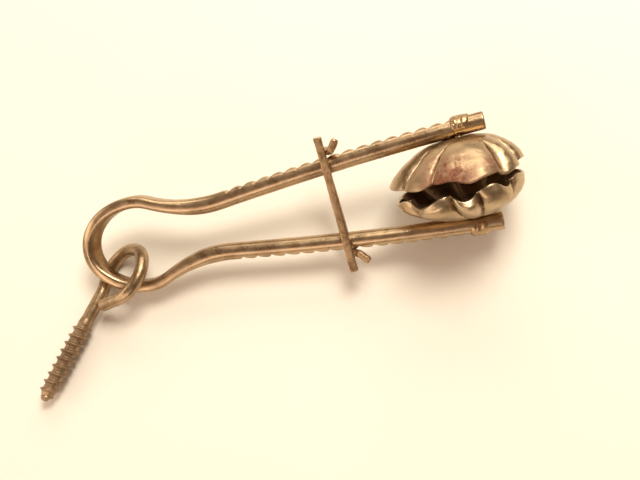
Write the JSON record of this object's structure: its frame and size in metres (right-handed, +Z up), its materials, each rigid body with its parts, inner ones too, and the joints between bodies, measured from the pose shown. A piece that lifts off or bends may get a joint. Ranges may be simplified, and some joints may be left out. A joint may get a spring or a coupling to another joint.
{
  "type": "nutcracker",
  "caption": "Spring-tong nutcracker: a bent wire frame with ratchet-toothed arms, two fluted cups riveted mouth to mouth, a slide link, and a screw eye to hang it.",
  "frame": {"origin": "centre of the footprint on the surface it lies on, lying as it rests", "axes": "+X from the bow to the cups, +Z up from the surface, +Y to the side of the raised arm"},
  "size_m": [0.14, 0.0534, 0.0316],
  "materials": {
    "frame_wire": "worn nickel over spring steel, rust specks",
    "cup_sheet": "aged nickel plate on pressed sheet, rust blush",
    "rivet": "hammered, dark",
    "link_wire": "rough, rusted brown",
    "eye_wire": "dull, rust in the thread"
  },
  "bodies": {
    "bow": {"spring_bow": "frame_wire"},
    "upper_jaw": {"upper_arm": "frame_wire", "upper_cup": "cup_sheet", "upper_rivet": "rivet"},
    "lower_jaw": {"lower_arm": "frame_wire", "lower_cup": "cup_sheet", "lower_rivet": "rivet"},
    "link": {"link_front_bar": "link_wire", "link_rear_bar": "link_wire"},
    "eye": {"screw_eye": "eye_wire"}
  },
  "joints": [
    {"name": "upper_squeeze", "type": "hinge", "parent": "bow", "child": "upper_jaw", "pos_m": [-0.03531, 0.01132, 0.0103], "axis": [-0.054, -0.4664, 0.8829], "range_deg": [-0.6, 0.9], "deforming": ["spring_bow"]},
    {"name": "lower_squeeze", "type": "hinge", "parent": "bow", "child": "lower_jaw", "pos_m": [-0.03531, 0.01132, 0.0103], "axis": [-0.054, -0.4664, 0.8829], "range_deg": [-0.9, 0.6]},
    {"name": "link_slide", "type": "slide", "parent": "bow", "child": "link", "axis": [0.9981, 0, 0.061], "range_m": [-0.00985, 0.0066]},
    {"name": "eye_swing", "type": "hinge", "parent": "bow", "child": "eye", "pos_m": [-0.04654, 0.00487, 0.0062], "axis": [0.7063, -0.6429, -0.2964], "range_deg": [-85, 85]}
  ],
  "couplings": [
    {"joint": "lower_squeeze", "follows": "upper_squeeze", "ratio": -1},
    {"joint": "link_slide", "follows": "upper_squeeze", "m_per_rad": -0.625}
  ]
}
